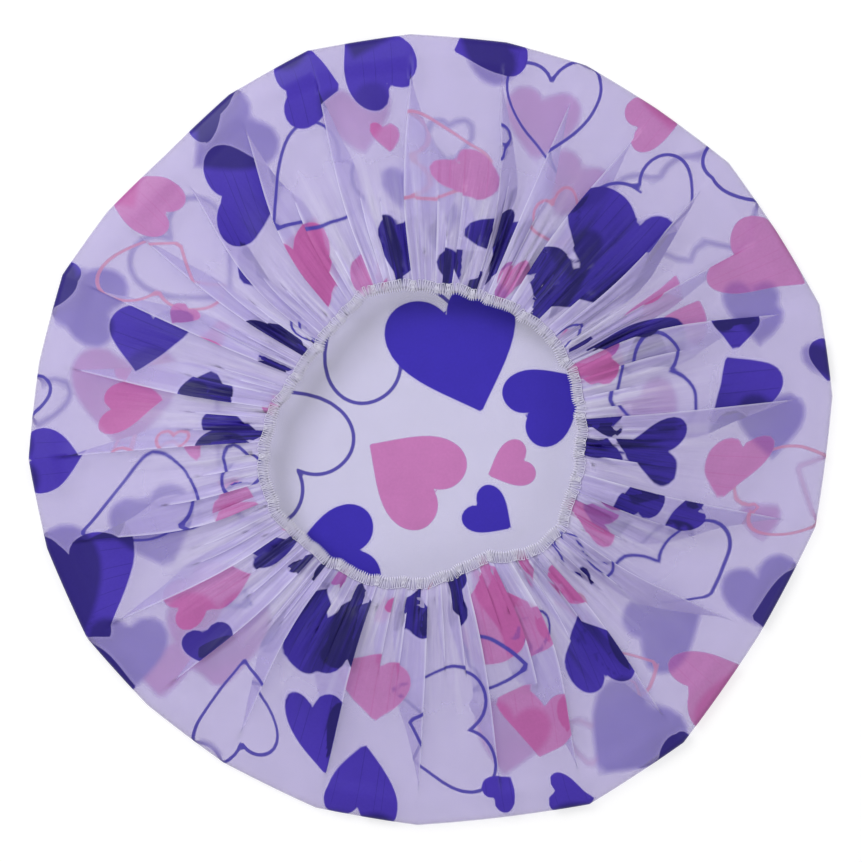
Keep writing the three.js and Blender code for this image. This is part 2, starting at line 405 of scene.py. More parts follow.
# %% Hearts seen on the upper half of the front
UPPER_FRONT_HEARTS = [
    ("blue_solid", -0.307, 0.867, 0.20, 95),
    ("blue_solid", -0.575, 0.8325, 0.17, 127),
    ("blue_solid", -0.465, 0.60, 0.245, 100),
    ("pink_solid", -0.72, 0.575, 0.19, -112),
    ("pink_line", -0.66, 0.41, 0.29, 164),
    ("blue_solid", -0.97, 0.3675, 0.17, -20),
    ("blue_solid", -0.715, 0.235, 0.195, -20),
    ("pink_solid", -0.6225, 0.29, 0.075, -30),
    ("pink_solid", -0.32, 0.39, 0.24, 30),
    ("blue_line", -0.2965, 0.622, 0.26, -53),
    ("blue_solid", -0.145, 0.925, 0.225, -146),
    ("blue_solid", 0.15, 0.98, 0.20, -80),
    ("blue_line", 0.31, 0.79, 0.29, -8),
    ("pink_line", 0.01, 0.69, 0.22, 97),
    ("pink_solid", 0.105, 0.635, 0.13, 20),
    ("pink_solid", -0.1125, 0.735, 0.08, 0),
    ("blue_solid", -0.0975, 0.445, 0.22, 10),
    ("blue_solid", 0.045, 0.40, 0.13, 0),
    ("blue_solid", 0.1725, 0.46, 0.22, -20),
    ("pink_solid", -0.15, 0.375, 0.14, 0),
    ("pink_solid", 0.18, 0.355, 0.175, -10),
    ("blue_solid", 0.3225, 0.3575, 0.22, -30),
    ("pink_solid", 0.56, 0.775, 0.15, 104),
    ("blue_line", 0.85, 0.68, 0.285, 45),
    ("blue_line", 0.5675, 0.52, 0.285, 10),
    ("pink_line", 0.31, 0.53, 0.15, 20),
    ("pink_solid", 0.8225, 0.4225, 0.24, 60),
    ("blue_solid", 0.5025, 0.41, 0.30, -45),
    ("blue_solid", 0.4975, 0.235, 0.24, -95),
    ("pink_solid", 0.6425, 0.285, 0.125, 150),
    ("blue_solid", 0.765, 0.26, 0.115, 10),
    ("blue_solid", 1.0, 0.18, 0.115, 0),
    ("blue_solid", 0.7775, 0.0975, 0.195, -154),
    ("blue_line", 0.545, 0.115, 0.22, -60),
    ("blue_solid", 0.425, 0.0275, 0.14, -90),
    ("pink_solid", 0.40, 0.1775, 0.19, -80),
    ("blue_line", -1.02, 0.08, 0.13, 0),
    ("blue_solid", -0.5575, 0.1075, 0.14, 170),
    ("blue_solid", -0.4875, 0.0, 0.20, 90),
    ("pink_solid", -0.75, 0.065, 0.16, 85),
    ("blue_solid", -0.36, 0.2275, 0.21, 40),
]

# %% Hearts seen on the lower half of the front
LOWER_FRONT_HEARTS = [
    ("blue_solid", 0.54, -0.035, 0.19, -92),
    ("blue_solid", 0.42, -0.045, 0.14, 90),
    ("pink_solid", 0.76, -0.0875, 0.17, -20),
    ("pink_line", 0.915, -0.135, 0.29, 100),
    ("blue_solid", 0.5225, -0.165, 0.12, 180),
    ("blue_solid", 0.6325, -0.215, 0.095, -70),
    ("pink_solid", 0.39, -0.215, 0.17, -100),
    ("blue_line", 0.615, -0.36, 0.27, 23),
    ("blue_line", 0.4025, -0.31, 0.17, 120),
    ("blue_solid", 0.405, -0.555, 0.215, -153),
    ("blue_solid", 0.62, -0.84, 0.15, -53),
    ("pink_solid", 0.697, -0.625, 0.195, 105),
    ("pink_solid", 0.2775, -0.735, 0.185, 0),
    ("pink_solid", 0.18, -0.435, 0.30, -150),
    ("pink_solid", 0.3275, -0.385, 0.13, -60),
    ("blue_solid", 0.177, -0.8985, 0.10, 141),
    ("blue_solid", 0.35, -0.915, 0.115, 95),
    ("blue_line", 0.01, -0.75, 0.32, -95),
    ("blue_line", 0.15, -0.585, 0.14, 90),
    ("pink_solid", -0.15, -0.64, 0.175, -20),
    ("blue_solid", -0.165, -0.885, 0.205, 160),
    ("blue_solid", -0.28, -0.755, 0.19, 5),
    ("blue_line", -0.475, -0.705, 0.265, 178),
    ("blue_solid", -0.2075, -0.4975, 0.26, 170),
    ("blue_solid", -0.3325, -0.4775, 0.23, 150),
    ("blue_solid", -0.045, -0.4525, 0.13, 170),
    ("blue_solid", -0.555, -0.54, 0.13, 19),
    ("pink_solid", -0.60, -0.42, 0.14, 110),
    ("pink_solid", -0.52, -0.375, 0.14, 110),
    ("blue_solid", -0.8775, -0.385, 0.335, 22),
    ("blue_line", -0.715, -0.245, 0.31, -75),
    ("blue_solid", -0.95, -0.075, 0.175, 88),
    ("pink_line", -0.65, -0.03, 0.08, 0),
    ("blue_line", -0.4525, -0.09, 0.15, 90),
    ("pink_solid", -0.4875, -0.1725, 0.12, 80),
    ("blue_solid", -0.375, -0.2975, 0.16, 120),
    ("blue_solid", -0.3175, -0.335, 0.08, 140),
    ("pink_solid", -0.215, -0.365, 0.07, 150),
]


# %% From the front to the flat disc
DRIFT_ROUNDS = 4


def heart_frame(across, up, width, turn_deg):
    """A heart on the disc as (middle, direction to its notch, width), all in mm."""
    turn = math.radians(turn_deg)
    middle = np.array([across, up]) * CAP_RADIUS
    return middle, np.array([-math.sin(turn), math.cos(turn)]), width * CAP_RADIUS


def wrapped_folds(share):
    """Bearings of a ring's crests and valleys, lying and on the disc, over three turns."""
    lies, on_disc = (values.ravel() for values in ring_folds(share)[:2])
    turns = (-TURN, 0, TURN)
    lies = np.concatenate([lies + turn for turn in turns] + [lies[:1] + 2 * TURN])
    on_disc = np.concatenate([on_disc + turn for turn in turns] + [on_disc[:1] + 2 * TURN])
    return lies, on_disc


def visible_film(bearing, share):
    """The disc's bearing of the uppermost film at a bearing of the front."""
    lies, on_disc = wrapped_folds(share)
    low = np.minimum(lies[:-1], lies[1:])
    high = np.maximum(lies[:-1], lies[1:])
    piece = np.nonzero((low <= bearing) & (bearing < high))[0]
    part = (bearing - lies[piece]) / (lies[piece + 1] - lies[piece])
    return (on_disc[piece] + part * (on_disc[piece + 1] - on_disc[piece])).min()


def front_heart_on_disc(across, up, width, turn_deg):
    """The flat place of a heart that is seen on the front, which shows the disc turned over."""
    middle, notch, size = heart_frame(across, up, width, turn_deg)
    seen = math.atan2(middle[1], middle[0])
    outer = front_radius(np.array([seen]), 0.0)[0]
    inner = front_radius(np.array([seen]), 1.0)[0]
    share = (outer - math.hypot(*middle)) / (outer - inner)
    ring = min(max(share, 0.0), 1.0)
    bearing = seen
    for _ in range(DRIFT_ROUNDS):
        bearing = seen - wander(np.array([bearing]), ring)[0]
    disc_bearing = visible_film(bearing, ring)
    reach = disc_radius(np.array([disc_bearing]), share)[0]
    outward = notch @ np.array([math.cos(seen), math.sin(seen)])
    around = notch @ np.array([-math.sin(seen), math.cos(seen)])
    radial = np.array([math.cos(disc_bearing), math.sin(disc_bearing)])
    side = np.array([-math.sin(disc_bearing), math.cos(disc_bearing)])
    return reach * radial, -outward * radial + around * side, size


# %% Sideways drift of the pleats
WANDER = [(5, 2.2, 0.5), (8, 0.7, 0.5), (13, 4.0, 0.4)]
WANDER_SPAN_SHARES = (0.05, 0.9)
LEAN_SPAN_SHARES = (0.0, 0.8)


def wander(bearing, share):
    """Sideways drift of the pleats in radians, so that crests aren't exact rays."""
    wobble = sum(np.radians(size) * np.sin(count * bearing + phase) for count, phase, size in WANDER)
    lean = np.interp(bearing, corner_bearings, np.radians(CORNER_DRIFTS_DEG), period=TURN)
    return wobble * smooth(*WANDER_SPAN_SHARES, share) + lean * smooth(*LEAN_SPAN_SHARES, share)


hearts = [(kind, *heart_frame(*row)) for kind, *row in CROWN_HEARTS]
hearts += [(kind, *front_heart_on_disc(*row)) for kind, *row in UPPER_FRONT_HEARTS + LOWER_FRONT_HEARTS]
print("hearts placed by hand:", len(hearts))

# %% Hearts in the hidden film
DISC_RADIUS = 235.0
FILLER_TRIES = 4000
FILLER_WIDTHS = (20.0, 36.0)
FILLER_LEAST_WIDTH_SHARE = 0.4
FILLER_GAP = 2.5
FILLER_KINDS = ("blue_solid", "pink_solid", "blue_line", "pink_solid", "blue_solid", "pink_line")
FILLER_REACH = 155.0
HEART_REACH_SHARE = 0.52
PROBE_STEPS = ((0, 0), (1, 0), (0, 1), (-1, 0), (0, -1))
PROBE_REACH_SHARE = 0.35
MOST_SHOWN = 1
HIDDEN_BY = 0.01


def is_shown(flat_point):
    """Whether a point of the flat disc lies uppermost on the front."""
    film = np.mod(math.atan2(flat_point[1], flat_point[0]) - corner_bearings[0], TURN) + corner_bearings[0]
    turn_reach, rim_reach = (disc_radius(np.array([film]), share)[0] for share in (0.0, 1.0))
    share = min(max((math.hypot(*flat_point) - turn_reach) / (rim_reach - turn_reach), 0.0), 1.0)
    lies, on_disc = (values.ravel() for values in ring_folds(share)[:2])
    bearing = np.interp(film, np.append(on_disc, on_disc[0] + TURN), np.append(lies, lies[0] + TURN))
    return visible_film(bearing, share) > film - HIDDEN_BY


def mostly_hidden(middle, size):
    """Whether a heart in this place would hardly show on the front."""
    probes = [middle + PROBE_REACH_SHARE * size * np.array(step) for step in PROBE_STEPS]
    return sum(is_shown(probe) for probe in probes) <= MOST_SHOWN


draw = np.random.default_rng(5)
circles = [(middle, HEART_REACH_SHARE * size) for _, middle, _, size in hearts]
for attempt in range(FILLER_TRIES):
    bearing = draw.uniform(0, TURN)
    reach = math.sqrt(draw.uniform(FILLER_REACH ** 2, DISC_RADIUS ** 2))
    shrink = 1 - (1 - FILLER_LEAST_WIDTH_SHARE) * attempt / FILLER_TRIES
    size = draw.uniform(*FILLER_WIDTHS) * shrink
    turn = draw.uniform(0, TURN)
    kind = FILLER_KINDS[attempt % len(FILLER_KINDS)]
    middle = reach * np.array([math.cos(bearing), math.sin(bearing)])
    radius = HEART_REACH_SHARE * size
    apart = all(np.hypot(*(middle - other)) > radius + other_radius + FILLER_GAP
                for other, other_radius in circles)
    if apart and mostly_hidden(middle, size):
        circles.append((middle, radius))
        hearts.append((kind, middle, np.array([-math.sin(turn), math.cos(turn)]), size))
print("hearts on the disc:", len(hearts))

# %% Distances to the print
FAR = 5.0
HEART_FIELD_SHARE = 0.7


def print_distances(points):
    """For each kind of heart, the distance in mm of flat points to its nearest edge, negative inside."""
    fields = {kind: np.full(len(points), FAR) for kind in KINDS}
    for kind, middle, notch, size in hearts:
        offset = points - middle
        near = np.nonzero((offset ** 2).sum(1) < (HEART_FIELD_SHARE * size + FAR) ** 2)[0]
        if not len(near):
            continue
        right = np.array([notch[1], -notch[0]])
        local = np.column_stack([offset[near] @ right, offset[near] @ notch]) / size
        fields[kind][near] = np.minimum(fields[kind][near], heart_distance(local) * size)
    return {kind: np.clip(field, -FAR, FAR) for kind, field in fields.items()}


# %% [markdown]
# ## The film as one mesh
# The film is a single sheet, as on the real cap: the flat crown on the table, the turn at the outline and the
# folded front up to the rim. The front's columns follow the pleats, with one on each crest and one in each
# valley, so a fold is a real edge in the mesh. The crown needs fewer columns towards its middle, and a zip of
# triangles joins two rings of unlike count. Its rings lie closest inside the mouth, where the print is bare.

# %% Heights of the folded front
STEPS_AHEAD = 4
PLEAT_COLUMNS = STEPS_AHEAD + 1
FRONT_RINGS = 36
SEAM_RINGS = 5
SEAM_SHARE = 0.93
FRONT_SHARES = np.concatenate([np.linspace(0, SEAM_SHARE, FRONT_RINGS),
                               np.linspace(SEAM_SHARE, 1.0, SEAM_RINGS + 1)[1:]])
HEIGHT_STOPS = [0.0, 0.05, 0.4, 0.85, 0.93, 1.0]
HEIGHTS = [4.35, 5.2, 7.6, 11.4, 12.8, 12.9]
DEEPEST_STOPS = [0.0, 0.15, 0.5, 0.8, 0.93, 1.0]
DEEPEST = [0.4, 1.6, 4.8, 5.5, 1.0, 0.5]
LEAST_SET_BACK = 0.5
SINK_RATE = 2.0
LIFT_SHARE = 0.45
WAVES = [(4, 0.4, 0.7), (7, 2.6, 0.6), (11, 1.1, 0.55), (19, 5.0, 0.45), (31, 3.3, 0.3)]
GATHERS = [(97, 0.3, 0.26), (131, 2.0, 0.3), (173, 4.1, 0.2)]
SWELL_TWIST = 2.5
SWELL_RISE_SHARES = (0.08, 0.5)
SWELL_FALL_SHARES = (0.8, 0.95)
GATHER_RISE_SHARES = (0.45, 0.85)
GATHER_FALL_SHARES = (0.9, 0.96)
GATHER_LOSS_SHARE = 0.7


def waves(bearing, share):
    """Rise and fall in mm that all layers share: broad swells, and fine gathers near the rim."""
    swell = sum(size * np.sin(count * bearing + phase + SWELL_TWIST * share) for count, phase, size in WAVES)
    fine = sum(size * np.sin(count * bearing + phase) for count, phase, size in GATHERS)
    swell = swell * smooth(*SWELL_RISE_SHARES, share) * (1 - smooth(*SWELL_FALL_SHARES, share))
    left = 1 - GATHER_LOSS_SHARE * smooth(*GATHER_FALL_SHARES, share)
    return swell + fine * smooth(*GATHER_RISE_SHARES, share) * left


def column_values(at_folds, close):
    """Values at crests and valleys spread over all columns of a ring."""
    values = at_folds.reshape(-1, 2)
    after = np.append(values[1:, 0], values[0, 0] + close)
    steps = np.arange(STEPS_AHEAD) / STEPS_AHEAD
    ahead = values[:, 1:2] + (after[:, None] - values[:, 1:2]) * steps
    return np.hstack([values[:, 0:1], ahead]).ravel()


def front_ring(share):
    """One ring of the front: places in mm, disc places in mm, lying and disc bearings, sunk depth in mm."""
    lies, on_disc, set_back, _ = ring_folds(share)
    bearing = column_values(lies, TURN)
    film = column_values(on_disc, TURN)
    behind = column_values(set_back, 0)
    deepest = np.interp(share, DEEPEST_STOPS, DEEPEST)
    furthest = max(set_back.max(), LEAST_SET_BACK)
    sunk = deepest * (1 - np.exp(-SINK_RATE * behind / furthest))
    height = np.interp(share, HEIGHT_STOPS, HEIGHTS) + LIFT_SHARE * deepest - sunk + waves(bearing, share)
    seen = bearing + wander(bearing, share)
    reach = front_radius(seen, share)
    place = np.column_stack([reach * np.cos(seen), reach * np.sin(seen), height])
    disc = disc_radius(film, share)
    flat = np.column_stack([disc * np.cos(film), disc * np.sin(film)])
    return place, flat, bearing, film, sunk


COLUMNS = PANELS * PLEATS * PLEAT_COLUMNS
COLUMN_IN_PLEAT = np.arange(COLUMNS) % PLEAT_COLUMNS
print("columns round the front:", COLUMNS)

# %% [markdown]
# Ink that lies over other ink reads much deeper than ink over clear film. So each point of the front also
# stores its distance to the ink of the folds beneath it. A fold ends at its crest and its valley, and the
# distance counts those edges too, so the deep colour ends where the folded film does.

# %% Folds beneath each point
FOLD_MARGIN = 2.5
LEAST_FOLD = 1e-5


def folds_beneath(share, bearing):
    """Where other film lies under each column of a ring: column, flat place, and mm past that film's edge."""
    lies, on_disc = wrapped_folds(share)
    low = np.minimum(lies[:-1], lies[1:])
    high = np.maximum(lies[:-1], lies[1:])
    radius = front_radius(bearing, share)
    margin = FOLD_MARGIN / radius
    pleat = np.arange(COLUMNS) // PLEAT_COLUMNS + PANELS * PLEATS
    own_piece = 2 * pleat + np.where(COLUMN_IN_PLEAT == 0, -1, 1)
    column, piece = np.nonzero((low[None] - margin[:, None] < bearing[:, None])
                               & (bearing[:, None] < high[None] + margin[:, None]))
    beneath = (piece > own_piece[column]) & (high[piece] - low[piece] > LEAST_FOLD)
    column, piece = column[beneath], piece[beneath]
    part = (bearing[column] - lies[piece]) / (lies[piece + 1] - lies[piece])
    crossing = on_disc[piece] + part * (on_disc[piece + 1] - on_disc[piece])
    past_edge = np.maximum(low[piece] - bearing[column], bearing[column] - high[piece]) * radius[column]
    reach = disc_radius(crossing, share)
    flat = np.column_stack([reach * np.cos(crossing), reach * np.sin(crossing)])
    return column, flat, past_edge


# %% Rings of points
TURN_STEPS = 6
FILM_BASE = 0.35
CROWN_COLUMNS = 260
CROWN_STEP = 4.2
MOUTH_STEP = 1.35
FINE_REACH = 61.0
HALVING_REACHES = (38.0, 19.0, 9.0)
MIDDLE_REACH = 2.0


def join_rings(outer, inner):
    """Faces between two closed rings of equally many point numbers."""
    return [(outer[i - 1], outer[i], inner[i], inner[i - 1]) for i in range(len(outer))]


def zip_rings(outer, inner, outer_bearing, inner_bearing):
    """Faces between two closed rings of unlike counts: each face takes whichever next point comes first."""
    outer_ends = np.append(outer_bearing[1:], outer_bearing[0] + TURN)
    inner_ends = np.append(inner_bearing[1:], inner_bearing[0] + TURN)
    faces = []
    i = j = 0
    while i < len(outer) or j < len(inner):
        if j >= len(inner) or (i < len(outer) and outer_ends[i] <= inner_ends[j]):
            faces.append((outer[i], outer[(i + 1) % len(outer)], inner[j % len(inner)]))
            i += 1
        else:
            faces.append((outer[i % len(outer)], inner[(j + 1) % len(inner)], inner[j]))
            j += 1
    return faces


places = []
flats = []
front_share = []
fold_depth = []
crest_gap = []
shade_gap = []
sunk_depth = []
under_points = []
under_flats = []
under_edges = []
faces = []


def add_ring(place, flat, share=0.0, depth=0.0, gap=FAR, ahead=FAR, sunk=0.0):
    """Adds a closed ring of points with its values and returns the points' numbers."""
    start = sum(len(block) for block in places)
    count = len(place)
    places.append(place)
    flats.append(flat)
    stored = ((front_share, share), (fold_depth, depth), (crest_gap, gap), (shade_gap, ahead),
              (sunk_depth, sunk))
    for values, value in stored:
        values.append(np.broadcast_to(value, count).astype(float))
    return np.arange(start, start + count)


# %% Front of the sheet
CREST_FADE = (0.3, 2.0)
SHADE_FADE = (0.3, 2.5)


def crease_values(share, bearing, film):
    """For each column, mm along the film to the nearest crest, and mm ahead of the crest that covers it."""
    taken = np.repeat(ring_folds(share)[3].ravel(), PLEAT_COLUMNS)
    reach = disc_radius(film, share)
    last_crest = np.repeat(film[::PLEAT_COLUMNS], PLEAT_COLUMNS)
    next_crest = np.append(last_crest[PLEAT_COLUMNS:], np.full(PLEAT_COLUMNS, film[0] + TURN))
    from_last = (film - last_crest) * reach
    to_next = (next_crest - film) * reach
    nearest_taken = np.where(from_last < to_next, taken, np.roll(taken, -PLEAT_COLUMNS))
    gap = np.minimum(from_last, to_next) + FAR * (1 - smooth(*CREST_FADE, nearest_taken))
    crests = np.repeat(bearing[::PLEAT_COLUMNS], PLEAT_COLUMNS)
    covering = np.where(COLUMN_IN_PLEAT == 0, np.roll(crests, PLEAT_COLUMNS), crests)
    covering[0] -= TURN
    covering_taken = np.where(COLUMN_IN_PLEAT == 0, np.roll(taken, PLEAT_COLUMNS), taken)
    faded = FAR * (1 - smooth(*SHADE_FADE, covering_taken))
    # The material paints shade on the film just ahead of the crest that covers it, by this distance.
    ahead = (bearing - covering) * front_radius(bearing, share) + faded
    return taken, gap, ahead


previous = None
for share in FRONT_SHARES[::-1]:
    place, flat, bearing, film, sunk = front_ring(share)
    taken, gap, ahead = crease_values(share, bearing, film)
    ring = add_ring(place, flat, share, taken, gap, ahead, sunk)
    column, below, past_edge = folds_beneath(share, bearing)
    under_points.append(ring[column])
    under_flats.append(below)
    under_edges.append(past_edge)
    if previous is not None:
        faces += join_rings(ring, previous)
    previous = ring

# %% Turn at the outline
outer_place, _, outer_bearing, outer_film, _ = front_ring(0.0)
inner = front_radius(outer_bearing, 0.0)
for step in range(1, TURN_STEPS + 1):
    angle = math.pi * step / TURN_STEPS
    bulge = TURN_REACH * math.sin(angle)
    drop = (1 - math.cos(angle)) / 2
    film = outer_bearing + (outer_film - outer_bearing) * (1 - step / TURN_STEPS)
    reach = inner + bulge
    height = outer_place[:, 2] * (1 - drop) + FILM_BASE * drop
    disc = disc_radius(film, 0.0) * (1 - step / TURN_STEPS) + inner * step / TURN_STEPS
    place = np.column_stack([reach * np.cos(outer_bearing), reach * np.sin(outer_bearing), height])
    ring = add_ring(place, np.column_stack([disc * np.cos(film), disc * np.sin(film)]))
    faces += join_rings(ring, previous)
    previous = ring
previous_bearing = outer_bearing

# %% Crown of the sheet
crown_count = CROWN_COLUMNS
halvings = list(HALVING_REACHES)
crown_reach = CAP_RADIUS - CROWN_STEP
while crown_reach > MIDDLE_REACH:
    if halvings and crown_reach < halvings[0]:
        crown_count //= 2
        halvings.pop(0)
    ring_bearing = corner_bearings[0] + TURN * np.arange(crown_count) / crown_count
    reach = crown_reach / CAP_RADIUS * front_radius(ring_bearing, 0.0)
    place = np.column_stack([reach * np.cos(ring_bearing), reach * np.sin(ring_bearing),
                             np.full(crown_count, FILM_BASE)])
    ring = add_ring(place, place[:, :2].copy())
    faces += zip_rings(ring, previous, ring_bearing, previous_bearing)
    previous, previous_bearing = ring, ring_bearing
    crown_reach -= CROWN_STEP if crown_reach > FINE_REACH else MOUTH_STEP
middle = int(add_ring(np.array([[0, 0, FILM_BASE]]), np.zeros((1, 2)))[0])
faces += [(previous[i], previous[i - 1], middle) for i in range(len(previous))]

points = np.vstack(places)
flat_points = np.vstack(flats)
front_share = np.concatenate(front_share)
fold_depth = np.concatenate(fold_depth)
crest_gap = np.concatenate(crest_gap)
shade_gap = np.concatenate(shade_gap)
sunk_depth = np.concatenate(sunk_depth)
print("film points:", len(points), "faces:", len(faces))

# %% The film object
def smooth_piece(name, points_mm, faces):
    """A new object at the origin from points in mm, shaded smooth."""
    mesh = bpy.data.meshes.new(name)
    mesh.from_pydata((points_mm * MM).tolist(), [], [tuple(int(i) for i in face) for face in faces])
    mesh.update()
    for polygon in mesh.polygons:
        polygon.use_smooth = True
    piece = bpy.data.objects.new(name, mesh)
    bpy.context.collection.objects.link(piece)
    return piece


printed_film = smooth_piece("printed_film", points, faces)
film_mesh = printed_film.data

# %% [markdown]
# A crease catches the light as a line, so the edges along deep crests and valleys are marked sharp and the
# rest of the film is shaded smooth. The sheet also gets a UV map: where each point lies on the flat disc.

# %% Creases and the flat map
CREASE_DEPTH = 1.2

edge_ends = np.empty(2 * len(film_mesh.edges), dtype=np.int64)
film_mesh.edges.foreach_get("vertices", edge_ends)
edge_ends = edge_ends.reshape(-1, 2)
on_front = len(FRONT_SHARES) * COLUMNS
same_column = (edge_ends[:, 0] % COLUMNS == edge_ends[:, 1] % COLUMNS) & (edge_ends.max(axis=1) < on_front)
at_fold = edge_ends[:, 0] % COLUMNS % PLEAT_COLUMNS < 2
deep = fold_depth[edge_ends].mean(axis=1) > CREASE_DEPTH
sharp = same_column & at_fold & deep
film_mesh.attributes.new("sharp_edge", "BOOLEAN", "EDGE").data.foreach_set("value", sharp)
print("creased edges:", int(sharp.sum()))

corner_points = np.empty(len(film_mesh.loops), dtype=np.int64)
film_mesh.loops.foreach_get("vertex_index", corner_points)
flat_map = film_mesh.uv_layers.new(name="flat_sheet")
flat_map.data.foreach_set("uv", (flat_points[corner_points] / (2 * DISC_RADIUS) + 0.5).ravel())


# %% Write the print on the mesh
LINE_HALF_WIDTH = 0.62
TABLE_MARGIN = 0.01


def add_values(mesh, name, values):
    """A number for each point of a mesh, which its material can read by name."""
    layer = mesh.attributes.new(name, "FLOAT", "POINT")
    layer.data.foreach_set("value", np.asarray(values, dtype=np.float32))


for kind, field in print_distances(flat_points).items():
    add_values(film_mesh, kind, field)

under_at = np.concatenate(under_points)
under_edge = np.concatenate(under_edges)
under = print_distances(np.vstack(under_flats))
crown_under = print_distances(points[:, :2])
folded = points[:, 2] > FILM_BASE + TABLE_MARGIN
for ink in ("blue", "pink"):
    ink_edge = np.minimum(under[ink + "_solid"], np.abs(under[ink + "_line"]) - LINE_HALF_WIDTH)
    nearest = np.full(len(points), FAR)
    np.minimum.at(nearest, under_at, np.maximum(ink_edge, under_edge))
    add_values(film_mesh, ink + "_fold", nearest)
    add_values(film_mesh, ink + "_crown", np.where(folded, crown_under[ink + "_solid"], FAR))

# %% Write softness, creases and haze on the mesh
SHARP_PRINT = 0.22
CROWN_BLUR = 1.3
FOLD_BLUR = 0.10
COVERED_REACH = 6.0
HAZE_SPAN_SHARES = (0.1, 0.95)
BAND_SPAN_SHARES = (0.958, 0.984)

from_rim = np.hypot(points[:, 0], points[:, 1]) - rim_radius(np.arctan2(points[:, 1], points[:, 0]))
covered = smooth(0.0, COVERED_REACH, from_rim) * ~folded
add_values(film_mesh, "softness", SHARP_PRINT + CROWN_BLUR * covered + FOLD_BLUR * sunk_depth)
add_values(film_mesh, "crest_gap", crest_gap)
# shade_gap places the painted shade beside each covering crest.
add_values(film_mesh, "shade_gap", shade_gap)
add_values(film_mesh, "haze", smooth(*HAZE_SPAN_SHARES, front_share))
add_values(film_mesh, "outside_mouth", np.maximum(folded, covered))
add_values(film_mesh, "sewn_band", smooth(*BAND_SPAN_SHARES, front_share))
print("kinds of value on the film:", len(film_mesh.attributes))

# %% [markdown]
# ## Small variations that all the finishes share
# Film, ink, elastic and thread all vary a little from place to place. One node group makes that: soft noise
# with a given number of grains to each unit of the place that it reads. Each material uses its own values.


# %% A group of fine variation
VARIATION_SOCKETS = [("Place", "INPUT", "Vector"), ("Per Metre", "INPUT", "Float"),
                     ("Amount", "INPUT", "Float"), ("Factor", "OUTPUT", "Float"),
                     ("Height", "OUTPUT", "Float")]
NOISE_DETAIL = 3.0


def fine_variation_group():
    """Noise of a given size, as a factor round 1 and as a height."""
    group = bpy.data.node_groups.new("fine_variation", "ShaderNodeTree")
    for name, in_out, kind in VARIATION_SOCKETS:
        group.interface.new_socket(name, in_out=in_out, socket_type="NodeSocket" + kind)
    start = group.nodes.new("NodeGroupInput")
    end = group.nodes.new("NodeGroupOutput")
    noise = group.nodes.new("ShaderNodeTexNoise")
    noise.inputs["Detail"].default_value = NOISE_DETAIL
    group.links.new(start.outputs["Place"], noise.inputs["Vector"])
    group.links.new(start.outputs["Per Metre"], noise.inputs["Scale"])
    spread = group.nodes.new("ShaderNodeMath")
    spread.operation = "SUBTRACT"
    spread.inputs[1].default_value = 0.5
    group.links.new(noise.outputs["Fac"], spread.inputs[0])
    factor = group.nodes.new("ShaderNodeMath")
    factor.operation = "MULTIPLY_ADD"
    factor.inputs[2].default_value = 1.0
    group.links.new(spread.outputs[0], factor.inputs[0])
    group.links.new(start.outputs["Amount"], factor.inputs[1])
    group.links.new(factor.outputs[0], end.inputs["Factor"])
    group.links.new(noise.outputs["Fac"], end.inputs["Height"])
    return group


variation_group = fine_variation_group()

# %% [markdown]
# ## The film's finish
# Frosted film lets part of the light through and scatters the rest, so the shader is see-through by Alpha.
# Light that has passed a few layers of it is still bright, so a ray that only asks for light meets a clearer
# film than the eye does. The stored distances become ink with an edge as soft as that place asks: crisp on
# top, blurred where the crown is seen through the front.

# %% Shorthands for nodes
def start_material(name):
    """A new material with its node tree and its Principled shader."""
    material = bpy.data.materials.new(name)
    material.use_nodes = True
    return material, material.node_tree, material.node_tree.nodes["Principled BSDF"]


film_material, tree, shader = start_material("printed_frosted_film")


def attribute(name):
    """A value stored on the mesh."""
    node = tree.nodes.new("ShaderNodeAttribute")
    node.attribute_name = name
    return node.outputs["Fac"]


def set_or_link(socket, value):
    """Sets a socket to a number or a colour, or links another socket to it."""
    if isinstance(value, (int, float, tuple)):
        socket.default_value = value
    else:
        tree.links.new(value, socket)


def calculate(operation, first, second=0.0, third=0.0):
    """One step of arithmetic."""
    node = tree.nodes.new("ShaderNodeMath")
    node.operation = operation
    for socket, value in zip(node.inputs, (first, second, third)):
        set_or_link(socket, value)
    return node.outputs[0]


def inked(distance, softness):
    """1 inside the print and 0 outside, with an edge as soft as given."""
    node = tree.nodes.new("ShaderNodeMapRange")
    node.interpolation_type = "SMOOTHSTEP"
    tree.links.new(distance, node.inputs["Value"])
    set_or_link(node.inputs["From Min"], calculate("MULTIPLY", softness, -1.0))
    set_or_link(node.inputs["From Max"], softness)
    node.inputs["To Min"].default_value = 1.0
    node.inputs["To Max"].default_value = 0.0
    return node.outputs["Result"]


def rising(value, low, high):
    """0 where the value is at low and 1 where it is at high, with a soft step between."""
    node = tree.nodes.new("ShaderNodeMapRange")
    node.interpolation_type = "SMOOTHSTEP"
    tree.links.new(value, node.inputs["Value"])
    node.inputs["From Min"].default_value = low
    node.inputs["From Max"].default_value = high
    return node.outputs["Result"]


def mix_colour(factor, first, second):
    """The first colour where the factor is 0 and the second where it is 1."""
    node = tree.nodes.new("ShaderNodeMix")
    node.data_type = "RGBA"
    for socket, value in zip((node.inputs[0], node.inputs[6], node.inputs[7]), (factor, first, second)):
        set_or_link(socket, value)
    return node.outputs[2]


def layered(colour, layers):
    """A colour under several layers, each given by its mask, the most of it that shows and its own colour."""
    for mask, most_share, layer_colour in layers:
        colour = mix_colour(calculate("MULTIPLY", mask, most_share), colour, layer_colour)
    return colour


def variation(place, per_metre, amount):
    """The shared group of fine variation, with this material's values."""
    node = tree.nodes.new("ShaderNodeGroup")
    node.node_tree = variation_group
    for socket, value in zip(node.inputs, (place, per_metre, amount)):
        set_or_link(socket, value)
    return node.outputs


# %% Where the ink is
FOLD_BLUR_SHARE = 1.5
CROWN_SHADOW_BLUR = 1.6
CROWN_SHADOW_SHARE = 0.8

